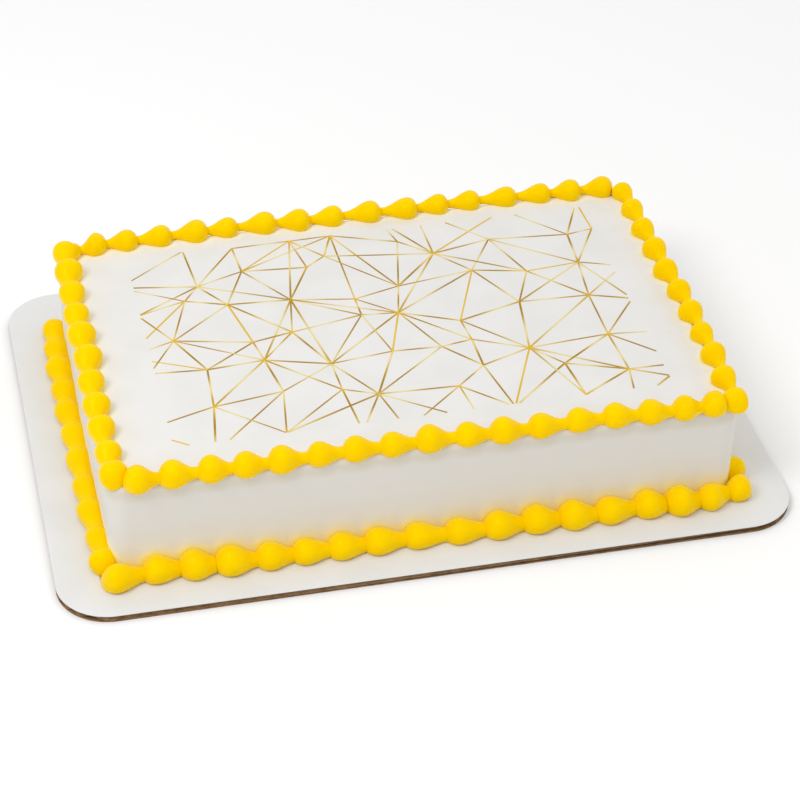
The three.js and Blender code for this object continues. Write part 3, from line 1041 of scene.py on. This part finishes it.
def white_paper():
    """Coated paper with a cloudy tone and fine fibres."""
    material, shader, place = new_finish("white_paper")
    cloud = noise(place, 30, 3.0).smooth(0.35, 0.65)
    fibres = noise(place, 0.9, 3.0, 0.6)
    tone = cloud * 0.7 + fibres * 0.3
    linked = {
        "Base Color": tone.colours(WHITE_PAPER_LOW, WHITE_PAPER_HIGH),
        "Roughness": 0.45 + 0.15 * fibres,
        "Normal": bump(fibres, 0.03),
    }
    fill(shader, linked, {"Specular IOR Level": 0.35})
    return material


def brown_paper():
    """Raw paper, its fibres five times as long along the waves as across them."""
    material, shader, place = new_finish("brown_paper")
    drawn = place.node("Mapping", None, {"Vector": place, "Scale": (0.2, 1.0, 1.0)})
    fibres = noise(drawn, 0.5, 4.0, 0.65)
    cloud = noise(place, 9, 2.0)
    tone = (fibres * 0.7 + cloud * 0.3).smooth(0.3, 0.7)
    linked = {
        "Base Color": tone.colours(BROWN_PAPER_LOW, BROWN_PAPER_HIGH),
        "Roughness": 0.8 + 0.15 * fibres,
        "Normal": bump(fibres, 0.06),
    }
    fill(shader, linked, {"Specular IOR Level": 0.2})
    return material


top_paper.data.materials.append(white_paper())
brown = brown_paper()
for piece in (base_paper, under_paper, waves_piece):
    piece.data.materials.append(brown)

# %% [markdown]
# The photo was lit as food is in a studio: white all round, and one soft lamp from the
# upper left and a little from the front. It lights the top, throws soft shadows to the
# right of the beads and leaves the right wall in shade. A white screen on the right
# would soften that shade, so the surroundings are a little brighter on that side. The
# floor is plain and white.

# %% Floor, lamp and surroundings
FLOOR_HALF = 6.0
FLOOR_WHITE = (0.95, 0.95, 0.95, 1)
LAMP_WAY = (-0.53, -0.28, 0.80)
LAMP_DISTANCE = 1.25
LAMP_SIZE = 0.5
LAMP_POWER = 4.4
HORIZON = 0.51
ZENITH = 1.06
MORE_TO_RIGHT = 0.12

floor_mesh = bpy.data.meshes.new("floor")
corners = [(-FLOOR_HALF, -FLOOR_HALF, 0), (FLOOR_HALF, -FLOOR_HALF, 0)]
corners += [(FLOOR_HALF, FLOOR_HALF, 0), (-FLOOR_HALF, FLOOR_HALF, 0)]
floor_mesh.from_pydata(corners, [], [(0, 1, 2, 3)])
floor = bpy.data.objects.new("floor", floor_mesh)
bpy.context.scene.collection.objects.link(floor)
paint, shader, place = new_finish("floor_paint")
paint_values = {"Base Color": FLOOR_WHITE, "Roughness": 0.9, "Specular IOR Level": 0.1}
fill(shader, {}, paint_values)
floor_mesh.materials.append(paint)

lamp = bpy.data.lights.new("lamp", "AREA")
lamp.shape = "DISK"
lamp.size = LAMP_SIZE
lamp.energy = LAMP_POWER
lamp_holder = bpy.data.objects.new("lamp", lamp)
lamp_holder.location = Vector(LAMP_WAY) * LAMP_DISTANCE
lamp_holder.rotation_euler = Vector(LAMP_WAY).to_track_quat("Z", "Y").to_euler()
bpy.context.scene.collection.objects.link(lamp_holder)

world = bpy.data.worlds.new("surroundings")
world.use_nodes = True
sky = world.node_tree.nodes["Background"]
way = Wire(world.node_tree).node("TexCoord", output="Generated")
rightward = way.node("SeparateXYZ", None, {0: way}, output="X")
height = way.node("SeparateXYZ", None, {0: way}, output="Z")
by_height = height.node("MapRange", None, {0: height, 1: 0.0, 2: 1.0, 3: HORIZON, 4: ZENITH})
brightness = by_height + MORE_TO_RIGHT * rightward
world.node_tree.links.new(brightness.socket, sky.inputs["Strength"])
sky.inputs["Color"].default_value = (1, 1, 1, 1)
bpy.context.scene.world = world
bpy.context.scene.view_settings.view_transform = "Standard"
print("lamp at", (Vector(LAMP_WAY) * LAMP_DISTANCE).to_tuple(2), "metres")
